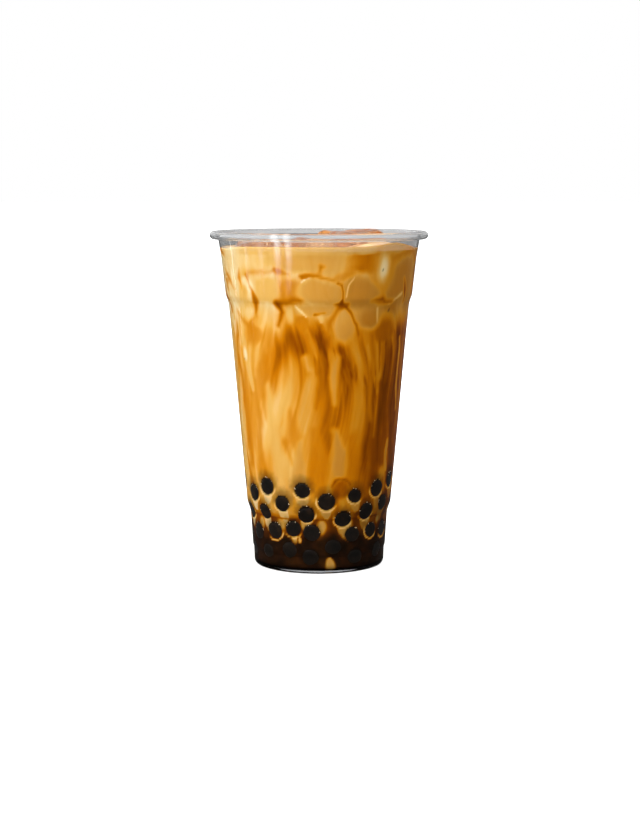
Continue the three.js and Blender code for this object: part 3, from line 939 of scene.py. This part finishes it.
# %% Build the drink
behind_plastic = make_tea("tea_behind_plastic", 0.6, 0.0, MILK_BEHIND_PLASTIC, SYRUP_BEHIND_PLASTIC)
on_top = make_tea("tea_open_surface", 0.09, 0.5, SHADED_MILK_ON_TOP, SHADED_SYRUP_ON_TOP)
drink = make_piece("milk_tea_marbled", tea_points, grid_faces(row_count, COLUMNS), behind_plastic)
drink.data.materials.append(on_top)
open_top = np.zeros(len(drink.data.polygons), np.int32)
open_top[COLUMNS * side_count:] = 1
drink.data.polygons.foreach_set("material_index", open_top)
for key, layer in (("tea", tea), ("syrup", syrup), ("shade", shade)):
    set_values(drink.data, key, np.clip(layer, 0, 1))
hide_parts("milk_tea")
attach(drink, "root")
print("drink:", len(drink.data.polygons), "faces")

# %% [markdown]
# ## The pearls
# Cooked tapioca pearls are soft, slightly uneven balls with a wet shine, and the wall flattens them.
# Geometry Nodes put one low ball on each place, size it, dent it with noise and join the lot. The pressing
# against the wall is done on the plain mesh, because the wall's outline lives in this script.

# %% Pearl finish
def make_tapioca():
    """Nearly black, with brown patches and a dimpled, softly shiny skin."""
    material, tree, output = new_material("wet_tapioca")
    place = tree.add("ShaderNodeTexCoord").outputs["Object"]
    patches = tree.add("ShaderNodeTexNoise", Vector=place, Scale=260.0, Detail=3.0).outputs[0]
    colour = tree.ramp(patches, [(0.3, rgb(14, 13, 12)), (0.6, rgb(24, 19, 15)), (0.85, rgb(48, 32, 20))])
    dimples = tree.add("ShaderNodeTexNoise", Vector=place, Scale=700.0, Detail=2.0).outputs[0]
    skin = tree.add("ShaderNodeBump", Strength=0.25, Distance=0.0004, Height=dimples).outputs[0]
    shader = tree.add(
        "ShaderNodeBsdfPrincipled", Base_Color=colour, Roughness=0.3, Normal=skin, Specular_IOR_Level=0.10,
    )
    tree.tree.links.new(shader.outputs[0], output.inputs["Surface"])
    return material


# %% Scatter balls with Geometry Nodes
def ball_tree(name):
    """A tree that puts a dented ball on each point, sized by the point's own radius."""
    group = bpy.data.node_groups.new(name, "GeometryNodeTree")
    face = group.interface
    face.new_socket("Geometry", in_out="INPUT", socket_type="NodeSocketGeometry")
    inputs = (("Detail", "Int"), ("Unevenness", "Float"), ("Dent Scale", "Float"), ("Finish", "Material"))
    for label, kind in inputs:
        face.new_socket(label, in_out="INPUT", socket_type=f"NodeSocket{kind}")
    face.new_socket("Geometry", in_out="OUTPUT", socket_type="NodeSocketGeometry")
    tree = Tree(group)
    given = tree.add("NodeGroupInput").outputs
    ball = tree.add("GeometryNodeMeshIcoSphere", Radius=1.0, Subdivisions=given["Detail"]).outputs["Mesh"]
    size = tree.add("GeometryNodeInputNamedAttribute", {"data_type": "FLOAT"}, Name="radius").outputs[0]
    spin_random = tree.add("FunctionNodeRandomValue", {"data_type": "FLOAT_VECTOR"}, Seed=3)
    spin_random.inputs["Max"].default_value = (6.28, 6.28, 6.28)
    placed = tree.add("GeometryNodeInstanceOnPoints", Points=given["Geometry"], Instance=ball, Scale=size,
                      Rotation=spin_random.outputs[0]).outputs[0]
    real = tree.add("GeometryNodeRealizeInstances", Geometry=placed).outputs[0]
    dent = tree.add("ShaderNodeTexNoise", Scale=given["Dent Scale"], Detail=1.0).outputs[0]
    push = tree.math("MULTIPLY", tree.math("SUBTRACT", dent, 0.5), given["Unevenness"])
    normal = tree.add("GeometryNodeInputNormal").outputs[0]
    offset = tree.add("ShaderNodeVectorMath", {"operation": "SCALE"}, i0=normal, Scale=push).outputs[0]
    moved = tree.add("GeometryNodeSetPosition", Geometry=real, Offset=offset).outputs[0]
    finished = tree.add("GeometryNodeSetMaterial", Geometry=moved, Material=given["Finish"]).outputs[0]
    shaded = tree.add("GeometryNodeSetShadeSmooth", Geometry=finished).outputs[0]
    tree.add("NodeGroupOutput", Geometry=shaded)
    return group


def scatter_balls(name, centres, radii, finish, detail, unevenness, dent_scale):
    """Balls of the given radii (mm) at the given centres (mm), as one plain mesh."""
    seeds = make_piece(name + "_places", centres, [])
    set_values(seeds.data, "radius", np.asarray(radii) * MM)
    group = ball_tree(name + "_tree")
    balls = seeds.modifiers.new("balls", "NODES")
    balls.node_group = group
    chosen = {"Detail": detail, "Unevenness": unevenness * MM, "Dent Scale": dent_scale, "Finish": finish}
    for item in group.interface.items_tree:
        if item.in_out == "INPUT" and item.name in chosen:
            balls[item.identifier] = chosen[item.name]
    ready = seeds.evaluated_get(bpy.context.evaluated_depsgraph_get())
    mesh = bpy.data.meshes.new_from_object(ready)
    mesh.name = name
    piece = bpy.data.objects.new(name, mesh)
    bpy.context.scene.collection.objects.link(piece)
    bpy.data.objects.remove(seeds)
    print(name + ":", len(centres), "balls,", len(mesh.polygons), "faces")
    return piece


# %% Press them against the wall and the floor
def mesh_points(piece):
    """The piece's points in millimetres."""
    places = np.zeros(len(piece.data.vertices) * 3)
    piece.data.vertices.foreach_get("co", places)
    return places.reshape(-1, 3) / MM


def press_inside(piece, reach):
    """Flattens what would pass the wall or the floor by more than reach."""
    places = mesh_points(piece)
    places[:, 2] = np.maximum(places[:, 2], FLOOR_TOP - reach)
    away = np.hypot(places[:, 0], places[:, 1])
    limit = inner_radius(np.maximum(places[:, 2], 3.7)) + reach
    places[:, :2] *= np.minimum(1, limit / np.maximum(away, 1e-6))[:, None]
    piece.data.vertices.foreach_set("co", (places * MM).ravel())
    piece.data.update()


# %% Build the heap
# Rings of pearls on the floor: radius of the ring, pearls in it.
FLOOR_RINGS = [(0.0, 1), (8.8, 6), (17.4, 12)]
turned = np.radians(wall_pearls[:, 0])
out = inner_radius(wall_pearls[:, 1]) + PEARL_REACH - (wall_pearls[:, 2] - press)
wall_centres = np.stack([out * np.sin(turned), -out * np.cos(turned), wall_pearls[:, 1]], 1)
floor_centres, floor_radii = [], []
for ring_radius, count in FLOOR_RINGS:
    for place in range(count):
        turn = 2 * math.pi * (place + pearl_random.uniform(-0.12, 0.12)) / count
        radius = PEARL_RADIUS + pearl_random.uniform(-0.3, 0.3)
        x, y = ring_radius * math.sin(turn), ring_radius * math.cos(turn)
        floor_centres.append((x, y, FLOOR_TOP + radius - 1.2))
        floor_radii.append(radius)
pearl_centres = np.vstack([wall_centres, floor_centres])
pearl_radii = np.concatenate([wall_pearls[:, 2], floor_radii])
pearls = scatter_balls("tapioca_pearls", pearl_centres, pearl_radii, make_tapioca(), 4, 1.5, 150.0)
press_inside(pearls, PEARL_REACH)
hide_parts("pearls")
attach(pearls, "root")

# %% [markdown]
# ## The ice
# The lumps have melted to soft corners and are wet. Each is a gridded block whose corners are pulled round,
# with slow noise for the melt. Clear ice takes the colour of the tea under it, and fine bubbles hang in it.

# %% Ice finish
def make_ice():
    """Clear, bumpy ice in the colour of the tea, with a few frosted places."""
    material, tree, output = new_material("wet_ice")
    place = tree.add("ShaderNodeTexCoord").outputs["Object"]
    melt = tree.add("ShaderNodeTexNoise", Vector=place, Scale=210.0, Detail=3.0).outputs[0]
    skin = tree.add("ShaderNodeBump", Strength=0.55, Distance=0.0016, Height=melt).outputs[0]
    haze = tree.add("ShaderNodeTexNoise", Vector=place, Scale=90.0, Detail=3.0).outputs[0]
    colour = tree.ramp(haze, [(0.3, rgb(220, 168, 108)), (0.7, rgb(240, 204, 152))])
    frost = tree.add("ShaderNodeMapRange", Value=haze, i1=0.52, i2=0.78, i3=1.0, i4=0.75).outputs[0]
    shader = tree.add(
        "ShaderNodeBsdfPrincipled",
        Base_Color=colour,
        Roughness=0.04,
        IOR=1.31,
        Transmission_Weight=frost,
        Normal=skin,
    )
    path = tree.add("ShaderNodeLightPath").outputs["Is Shadow Ray"]
    clear = tree.add("ShaderNodeBsdfTransparent", Color=rgb(246, 228, 200))
    mixed = tree.add("ShaderNodeMixShader", i0=path, i1=shader.outputs[0], i2=clear.outputs[0])
    tree.tree.links.new(mixed.outputs[0], output.inputs["Surface"])
    return material


# %% Shape of a lump
ICE_ROUNDING = 4.6
ICE_GRID = 26


def turned_about(axis, degrees):
    """The matrix that turns points about x, y or z (axis 0, 1 or 2)."""
    cosine, sine = math.cos(math.radians(degrees)), math.sin(math.radians(degrees))
    first, second = (axis + 1) % 3, (axis + 2) % 3
    matrix = np.eye(3)
    matrix[first, first] = matrix[second, second] = cosine
    matrix[first, second], matrix[second, first] = -sine, sine
    return matrix


def lump_points(lump, seed):
    """The six gridded sides of a block with round, melted corners, and its faces."""
    half = np.array(lump["size"]) / 2
    work = bmesh.new()
    bmesh.ops.create_cube(work, size=2.0)
    bmesh.ops.subdivide_edges(work, edges=work.edges[:], cuts=ICE_GRID, use_grid_fill=True)
    cube = np.array([vertex.co[:] for vertex in work.verts])
    faces = [[vertex.index for vertex in each.verts] for each in work.faces]
    work.free()
    block = np.sign(cube) * (1 - (1 - np.abs(cube)) ** 1.15) * half
    core = np.clip(block, -(half - ICE_ROUNDING), half - ICE_ROUNDING)
    outwards = block - core
    block = core + ICE_ROUNDING * outwards / np.maximum(np.linalg.norm(outwards, axis=1, keepdims=True), 1e-9)
    melt = noise(block, (9, 9, 9), seed, 2) * 0.55 - 0.25
    block = block * (1 + melt / half.mean())[:, None]
    tilt_x, tilt_y = lump["tilt"]
    turned = turned_about(2, lump["turn"]) @ turned_about(1, tilt_y) @ turned_about(0, tilt_x)
    return block @ turned.T + np.array(lump["at"]), faces


# %% Melted lumps
wet_ice = make_ice()
for number, (node, lump) in enumerate(ICE.items()):
    points, faces = lump_points(lump, 60 + number)
    piece = make_piece(node + "_melted", points, faces, wet_ice)
    turn_outwards(piece)
    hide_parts(node)
    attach(piece, "root")
    print(piece.name, "top", round(float(points[:, 2].max()), 2), "mm")

# %% Air in the ice
def make_air():
    """A pale, smooth finish for the air in the ice."""
    material, tree, output = new_material("air_in_ice")
    shader = tree.add("ShaderNodeBsdfPrincipled", Base_Color=rgb(250, 244, 234), Roughness=0.15)
    tree.tree.links.new(shader.outputs[0], output.inputs["Surface"])
    return material


AIR_IN_EACH = 46
air_random = np.random.default_rng(31)
air_centres, air_radii = [], []
for lump in ICE.values():
    half = np.array(lump["size"]) / 2 - 2.6
    turn = math.radians(lump["turn"])
    for _ in range(AIR_IN_EACH):
        across, along, up = air_random.normal(0, 0.42, 3).clip(-1, 1) * half
        x = lump["at"][0] + across * math.cos(turn) - along * math.sin(turn)
        y = lump["at"][1] + across * math.sin(turn) + along * math.cos(turn)
        air_centres.append((x, y, lump["at"][2] + abs(up) + 1.0))
        air_radii.append(air_random.choice([0.12, 0.2, 0.32], p=[0.5, 0.35, 0.15]))
air = scatter_balls("ice_air_bubbles", air_centres, air_radii, make_air(), 1, 0.0, 10.0)
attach(air, "root")

# %% [markdown]
# ## Bubbles
# Fine bubbles gather where the tea meets the ice and the wall, and catch on the upper edges of the pearls.
# They follow the same waterline function as the surface, and the same ball tree makes them.

# %% Bubble places
def make_foam():
    """A milky finish with a wet coat."""
    material, tree, output = new_material("foam_bubbles")
    place = tree.add("ShaderNodeTexCoord").outputs["Object"]
    patches = tree.add("ShaderNodeTexNoise", Vector=place, Scale=300.0).outputs[0]
    colour = tree.ramp(patches, [(0.35, rgb(236, 214, 176)), (0.7, rgb(214, 178, 124))])
    shader = tree.add("ShaderNodeBsdfPrincipled", Base_Color=colour, Roughness=0.12, Coat_Weight=0.5)
    tree.tree.links.new(shader.outputs[0], output.inputs["Surface"])
    return material


BUBBLE_TRIES = 900
BUBBLES_ABOVE = 16
bubble_random = np.random.default_rng(19)
foam_centres, foam_radii = [], []
for lump in ICE.values():
    reach_out = max(lump["size"]) / 2 + 3
    for _ in range(BUBBLE_TRIES):
        x, y = np.array(lump["at"][:2]) + bubble_random.uniform(-reach_out, reach_out, 2)
        gap = float(ice_distance(np.array([x]), np.array([y]), lump)[0])
        if 0.15 < gap < 0.9 and math.hypot(x, y) < inner_radius(LEVEL) - 1 and bubble_random.random() < 0.5:
            radius = bubble_random.choice([0.16, 0.22, 0.3, 0.42], p=[0.4, 0.35, 0.18, 0.07])
            height = float(surface_height(np.array([x]), np.array([y]))[0])
            foam_centres.append((x, y, height + 0.3 * radius))
            foam_radii.append(radius)
for angle, height, radius in wall_pearls:
    if height > BUBBLES_ABOVE:
        for _ in range(bubble_random.integers(3, 8)):
            lean = math.radians(bubble_random.uniform(-100, 100))
            apart = radius * bubble_random.uniform(0.68, 0.86)
            up = height + apart * math.cos(lean)
            wall = float(inner_radius(up))
            turn = math.radians(angle) + apart * math.sin(lean) / wall
            size = bubble_random.uniform(0.14, 0.30)
            foam_centres.append(((wall + 0.02) * math.sin(turn), -(wall + 0.02) * math.cos(turn), up))
            foam_radii.append(size)
foam = scatter_balls("foam_bubbles", foam_centres, foam_radii, make_foam(), 2, 0.0, 10.0)
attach(foam, "root")

# %% [markdown]
# ## Studio
# A plain pale floor, a soft bright surround, a key lamp from the upper left and two weaker fills, as in a
# product photograph. Tall narrow cards at the left leave upright reflections on the upper wall. They only
# show in reflections, so they cast no light of their own.

# %% Floor
def make_floor():
    """A pale floor that looks darker in the cup's own reflections and refractions."""
    material, tree, output = new_material("pale_floor")
    pale = tree.add("ShaderNodeBsdfDiffuse", Color=rgb(250, 250, 249)).outputs[0]
    dimmed = tree.add("ShaderNodeBsdfDiffuse", Color=rgb(205, 205, 205)).outputs[0]
    dark = tree.add("ShaderNodeBsdfDiffuse", Color=rgb(52, 52, 52)).outputs[0]
    rays = tree.add("ShaderNodeLightPath").outputs
    through = tree.add("ShaderNodeMixShader", i0=rays["Is Transmission Ray"], i1=pale, i2=dimmed).outputs[0]
    mirrored = tree.add("ShaderNodeMixShader", i0=rays["Is Glossy Ray"], i1=through, i2=dark).outputs[0]
    tree.tree.links.new(mirrored, output.inputs["Surface"])
    return material


FLOOR_REACH = 12000.0
corners = [(x * FLOOR_REACH, y * FLOOR_REACH, 0) for x, y in ((-1, -1), (1, -1), (1, 1), (-1, 1))]
floor = make_piece("floor", corners, [(0, 1, 2, 3)], make_floor())
print("floor:", FLOOR_REACH, "mm to each side")

# %% [markdown]
# The world is bright for the light it casts, greyer where the cup mirrors it, so that the lip keeps its
# outline, and white where the camera sees it.

# %% World
scene = bpy.context.scene
world = bpy.data.worlds.new("studio")
scene.world = world
world.use_nodes = True
sky = Tree(world.node_tree)
world.node_tree.nodes.clear()
ground = sky.add("ShaderNodeOutputWorld")
direction = sky.add("ShaderNodeTexCoord").outputs["Generated"]
parts = sky.add("ShaderNodeSeparateXYZ", Vector=direction).outputs
leftward = sky.add("ShaderNodeMapRange", Value=parts["X"], i1=1.0, i2=-1.0).outputs[0]


def surround(dark_side, bright_side):
    """A soft gradient of greys from the right of the studio to the left."""
    stops = [(0.0, (dark_side, dark_side, dark_side, 1)), (1.0, (bright_side, bright_side, bright_side, 1))]
    return sky.add("ShaderNodeBackground", Color=sky.ramp(leftward, stops)).outputs[0]


rays = sky.add("ShaderNodeLightPath").outputs
lit = surround(1.78, 1.78)
through = sky.add("ShaderNodeMixShader", i0=rays["Is Transmission Ray"], i1=lit, i2=surround(1.30, 1.40))
glossy = surround(0.30, 0.80)
mirrored = sky.add("ShaderNodeMixShader", i0=rays["Is Glossy Ray"], i1=through.outputs[0], i2=glossy)
shown = sky.add("ShaderNodeBackground", Color=(1, 1, 1, 1))
both = sky.add("ShaderNodeMixShader", i0=rays["Is Camera Ray"], i1=mirrored.outputs[0], i2=shown.outputs[0])
sky.tree.links.new(both.outputs[0], ground.inputs["Surface"])
print("world:", world.name)

# %% Lamps
LAMP_TARGET = (0, 0, 0.08)


def add_lamp(name, place, size, power, shiny=False):
    """A soft lamp at a place in metres. Only a shiny one shows in reflections and through the plastic."""
    data = bpy.data.lights.new(name, "AREA")
    data.shape, data.size, data.size_y, data.energy = "RECTANGLE", size[0], size[1], power
    lamp = bpy.data.objects.new(name, data)
    lamp.visible_camera = False
    lamp.visible_glossy = lamp.visible_transmission = shiny
    lamp.location = place
    towards = mathutils.Vector(LAMP_TARGET) - mathutils.Vector(place)
    lamp.rotation_euler = towards.to_track_quat("-Z", "Y").to_euler()
    scene.collection.objects.link(lamp)
    return lamp


add_lamp("key", (-0.75, -0.85, 0.75), (0.6, 0.6), 11.0, True)
add_lamp("fill_right", (1.0, -0.75, 0.45), (0.8, 0.8), 6.2)
add_lamp("fill_back", (0.35, 1.1, 0.6), (1.0, 0.8), 11.0)

# %% Reflection cards
CARD_LOW, CARD_HIGH = 40.0, 300.0
CARD_DISTANCE = 300.0
# Each card: degrees from the front, width in millimetres, strength.
CARDS = [(-66, 22, 7.0), (-90, 20, 8.0), (-116, 16, 8.0)]


def add_card(name, azimuth, width, strength):
    """An upright glowing card at an azimuth from the front, seen only in reflections."""
    material, tree, output = new_material(name)
    level = tree.add("ShaderNodeAttribute", {"attribute_name": "glow"}).outputs["Fac"]
    glow = tree.add("ShaderNodeEmission", Strength=tree.math("MULTIPLY", level, strength))
    tree.tree.links.new(glow.outputs[0], output.inputs["Surface"])
    turn = math.radians(azimuth)
    across, up = np.meshgrid(np.linspace(-1, 1, 13), np.linspace(CARD_LOW, CARD_HIGH, 25))
    side = across * width / 2
    x = CARD_DISTANCE * math.sin(turn) + side * math.cos(turn)
    y = -CARD_DISTANCE * math.cos(turn) + side * math.sin(turn)
    points = np.stack([x, y, up], 2).reshape(-1, 3)
    corners = [(row * 13 + column) for row in range(24) for column in range(12)]
    card = make_piece(name, points, [(c, c + 1, c + 14, c + 13) for c in corners], material)
    ends = smoothstep(CARD_LOW, CARD_LOW + 60, up) * smoothstep(CARD_HIGH, 0.6 * CARD_HIGH, up)
    set_values(card.data, "glow", ((1 - across ** 2) ** 2 * ends).ravel())
    card.visible_camera = card.visible_diffuse = card.visible_transmission = card.visible_shadow = False
    return card


for number, (azimuth, width, strength) in enumerate(CARDS):
    add_card(f"reflection_card_{number}", azimuth, width, strength)
print("cards:", len(CARDS))

# %% [markdown]
# ## Camera and colours
# The camera stands where the photograph's lens and tilt put it. The colours are shown without a film curve,
# because the curve would grey the white surround and dull the amber.

# %% Camera
CAMERA_PLACE = (0.00048, -0.8085, 0.1745)
CAMERA_PITCH = 7.506
CAMERA_LENS = 77.84
camera_data = bpy.data.cameras.new("camera")
camera_data.lens = CAMERA_LENS
camera_data.sensor_width = 36.0
camera_data.clip_start, camera_data.clip_end = 0.01, 100.0
camera = bpy.data.objects.new("camera", camera_data)
camera.location = CAMERA_PLACE
camera.rotation_euler = (math.radians(90 - CAMERA_PITCH), 0, 0)
scene.collection.objects.link(camera)
scene.camera = camera
scene.view_settings.view_transform = "Standard"
scene.cycles.use_denoising = True
scene.cycles.caustics_reflective = False
scene.cycles.caustics_refractive = True
scene.cycles.sample_clamp_indirect = 4.0
print("camera:", CAMERA_LENS, "mm lens,", CAMERA_PITCH, "degrees down")
